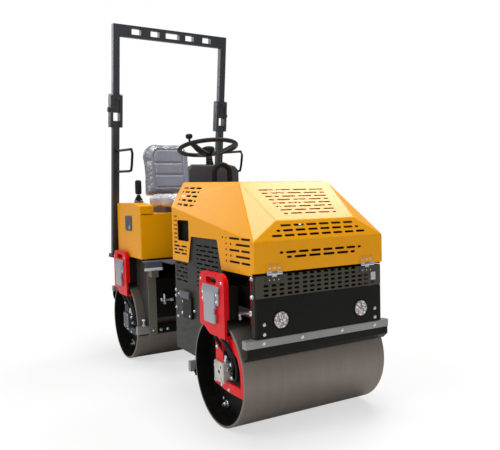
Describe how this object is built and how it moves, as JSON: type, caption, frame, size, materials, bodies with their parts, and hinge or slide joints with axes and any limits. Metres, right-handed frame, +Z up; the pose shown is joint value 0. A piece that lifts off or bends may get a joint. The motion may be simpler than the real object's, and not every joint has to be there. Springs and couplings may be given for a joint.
{
  "type": "vibratory roller",
  "caption": "Ride-on tandem vibratory roller with two steel drums, centre-pivot steering, a tilting engine hood and a folding roll bar.",
  "frame": {"origin": "on the ground, under the vertical steering pin, halfway between the two drums", "axes": "+Z up; the machine's front faces -Y; +X is the machine's left side"},
  "size_m": [0.984, 2.18, 2.4429],
  "materials": {
    "yellow_paint": "satin yellow paint on folded steel sheet",
    "red_paint": "gloss red paint on steel plate",
    "frame_grey": "satin dark grey paint on steel",
    "black_paint": "satin black paint on steel",
    "bar_paint": "satin blue-black paint on steel tube",
    "beam_grey": "satin grey paint on steel",
    "drum_steel": "bare rolled steel, dulled",
    "bright_steel": "bright steel",
    "cast_grey": "light grey casting",
    "cover_silver": "silver-grey paint",
    "dark_plastic": "dark grey moulded plastic",
    "rubber": "black rubber",
    "seat_vinyl": "silver-grey padded vinyl",
    "lamp_lens": "clear faceted lamp lens",
    "red_lens": "red lamp lens"
  },
  "bodies": {
    "rear_module": {"rear_beam": "beam_grey", "rear_inner_scraper": "beam_grey", "rear_scraper": "black_paint", "rear_arm_left": "red_paint", "rear_motor_left": "cast_grey", "rear_isolator_cover_left": "cover_silver", "rear_arm_right": "red_paint", "rear_motor_right": "cast_grey", "rear_isolator_cover_right": "cover_silver", "side_console_left": "yellow_paint", "tail_lamp_left": "red_lens", "rops_lower_post_left": "bar_paint", "grab_handle_left": "bar_paint", "side_console_right": "yellow_paint", "tail_lamp_right": "red_lens", "rops_lower_post_right": "bar_paint", "grab_handle_right": "bar_paint", "rear_frame": "frame_grey", "seat_box": "yellow_paint", "water_tank": "yellow_paint", "latch_plate": "cover_silver", "floor_plate": "cover_silver", "tail_panel": "black_paint", "steering_console": "dark_plastic", "travel_lever": "rubber", "seat_cushion": "seat_vinyl", "seat_back": "seat_vinyl", "seat_base": "dark_plastic"},
    "front_module": {"front_beam": "beam_grey", "front_inner_scraper": "beam_grey", "front_scraper": "black_paint", "front_arm_left": "red_paint", "front_motor_left": "cast_grey", "front_isolator_cover_left": "cover_silver", "front_arm_right": "red_paint", "front_motor_right": "cast_grey", "front_isolator_cover_right": "cover_silver", "headlight_left": "lamp_lens", "vent_panel_left": "frame_grey", "hood_hinge_left": "bright_steel", "headlight_right": "lamp_lens", "vent_panel_right": "frame_grey", "hood_hinge_right": "bright_steel", "front_frame": "frame_grey", "articulation_pin": "bright_steel", "lamp_panel": "black_paint", "grille_panel": "frame_grey", "engine_block": "black_paint", "hydraulic_pump": "black_paint", "engine_bulkhead": "frame_grey", "lifting_loop": "black_paint"},
    "front_drum": {"front_drum": "drum_steel"},
    "rear_drum": {"rear_drum": "drum_steel"},
    "hood": {"hood": "yellow_paint"},
    "steering_wheel": {"steering_wheel": "rubber"},
    "roll_bar_top": {"rops_upper_frame": "bar_paint"},
    "pivot_yoke": {"pivot_yoke": "black_paint"},
    "steering_barrel": {"steering_barrel": "black_paint"},
    "steering_rod": {"steering_rod": "bright_steel"}
  },
  "joints": [
    {"name": "oscillation", "type": "hinge", "parent": "rear_module", "child": "pivot_yoke", "pos_m": [0, 0.25, 0.43], "axis": [0, 1, 0], "range_deg": [-6, 6]},
    {"name": "steering", "type": "hinge", "parent": "pivot_yoke", "child": "front_module", "pos_m": [0, 0, 0.43], "axis": [0, 0, 1], "range_deg": [-27, 27]},
    {"name": "hood_hinge", "type": "hinge", "parent": "front_module", "child": "hood", "pos_m": [0, -1.084, 0.806], "axis": [1, 0, 0], "range_deg": [0, 60]},
    {"name": "front_drum_spin", "type": "hinge", "parent": "front_module", "child": "front_drum", "pos_m": [0, -0.762, 0.28], "axis": [1, 0, 0], "continuous": true},
    {"name": "rear_drum_spin", "type": "hinge", "parent": "rear_module", "child": "rear_drum", "pos_m": [0, 0.762, 0.28], "axis": [1, 0, 0], "continuous": true},
    {"name": "steering_wheel_turn", "type": "hinge", "parent": "rear_module", "child": "steering_wheel", "pos_m": [0, 0.19, 1.51], "axis": [0, 0.1908, 0.9816], "continuous": true},
    {"name": "roll_bar_fold", "type": "hinge", "parent": "rear_module", "child": "roll_bar_top", "pos_m": [0, 0.84441, 1.833], "axis": [-1, 0, 0], "range_deg": [0, 130]},
    {"name": "barrel_swing", "type": "hinge", "parent": "front_module", "child": "steering_barrel", "pos_m": [-0.155, -0.319, 0.44], "axis": [0, 0, 1], "range_deg": [-0.45, 0.45]},
    {"name": "rod_extension", "type": "slide", "parent": "steering_barrel", "child": "steering_rod", "axis": [0.0758, 0.9971, 0], "range_m": [-0.06, 0.06]}
  ],
  "couplings": [
    {"joint": "barrel_swing", "follows": "steering", "ratio": 0.01654},
    {"joint": "rod_extension", "follows": "steering", "m_per_rad": 0.1255}
  ]
}
